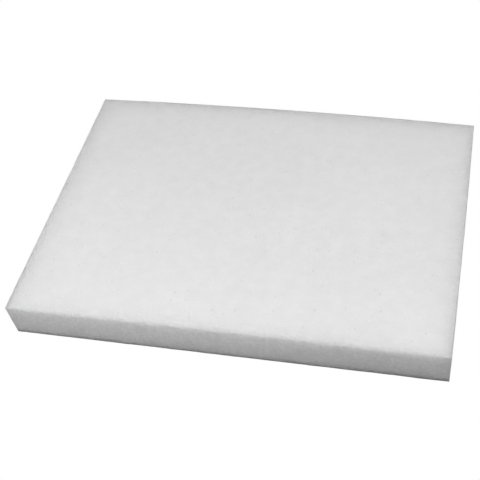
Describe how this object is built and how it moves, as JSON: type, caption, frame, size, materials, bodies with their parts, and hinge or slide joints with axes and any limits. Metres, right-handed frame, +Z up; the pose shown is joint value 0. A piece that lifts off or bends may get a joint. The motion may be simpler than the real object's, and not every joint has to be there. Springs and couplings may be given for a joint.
{
  "type": "floral foam slab",
  "caption": "Flat rectangular slab of white fine-celled foam with square-cut sides, a base to cut, glue, and push stems or pins into.",
  "frame": {"origin": "centre of the underside, on the surface that the slab rests on", "axes": "+X along the slab's length, +Y along its depth, from the front side towards the back, +Z up through its thickness"},
  "size_m": [0.3048, 0.2286, 0.0254],
  "materials": {
    "white_foam": "matte white rigid foam, its fine cells cut open on every face"
  },
  "bodies": {
    "root": {"foam_slab": "white_foam"}
  },
  "joints": []
}
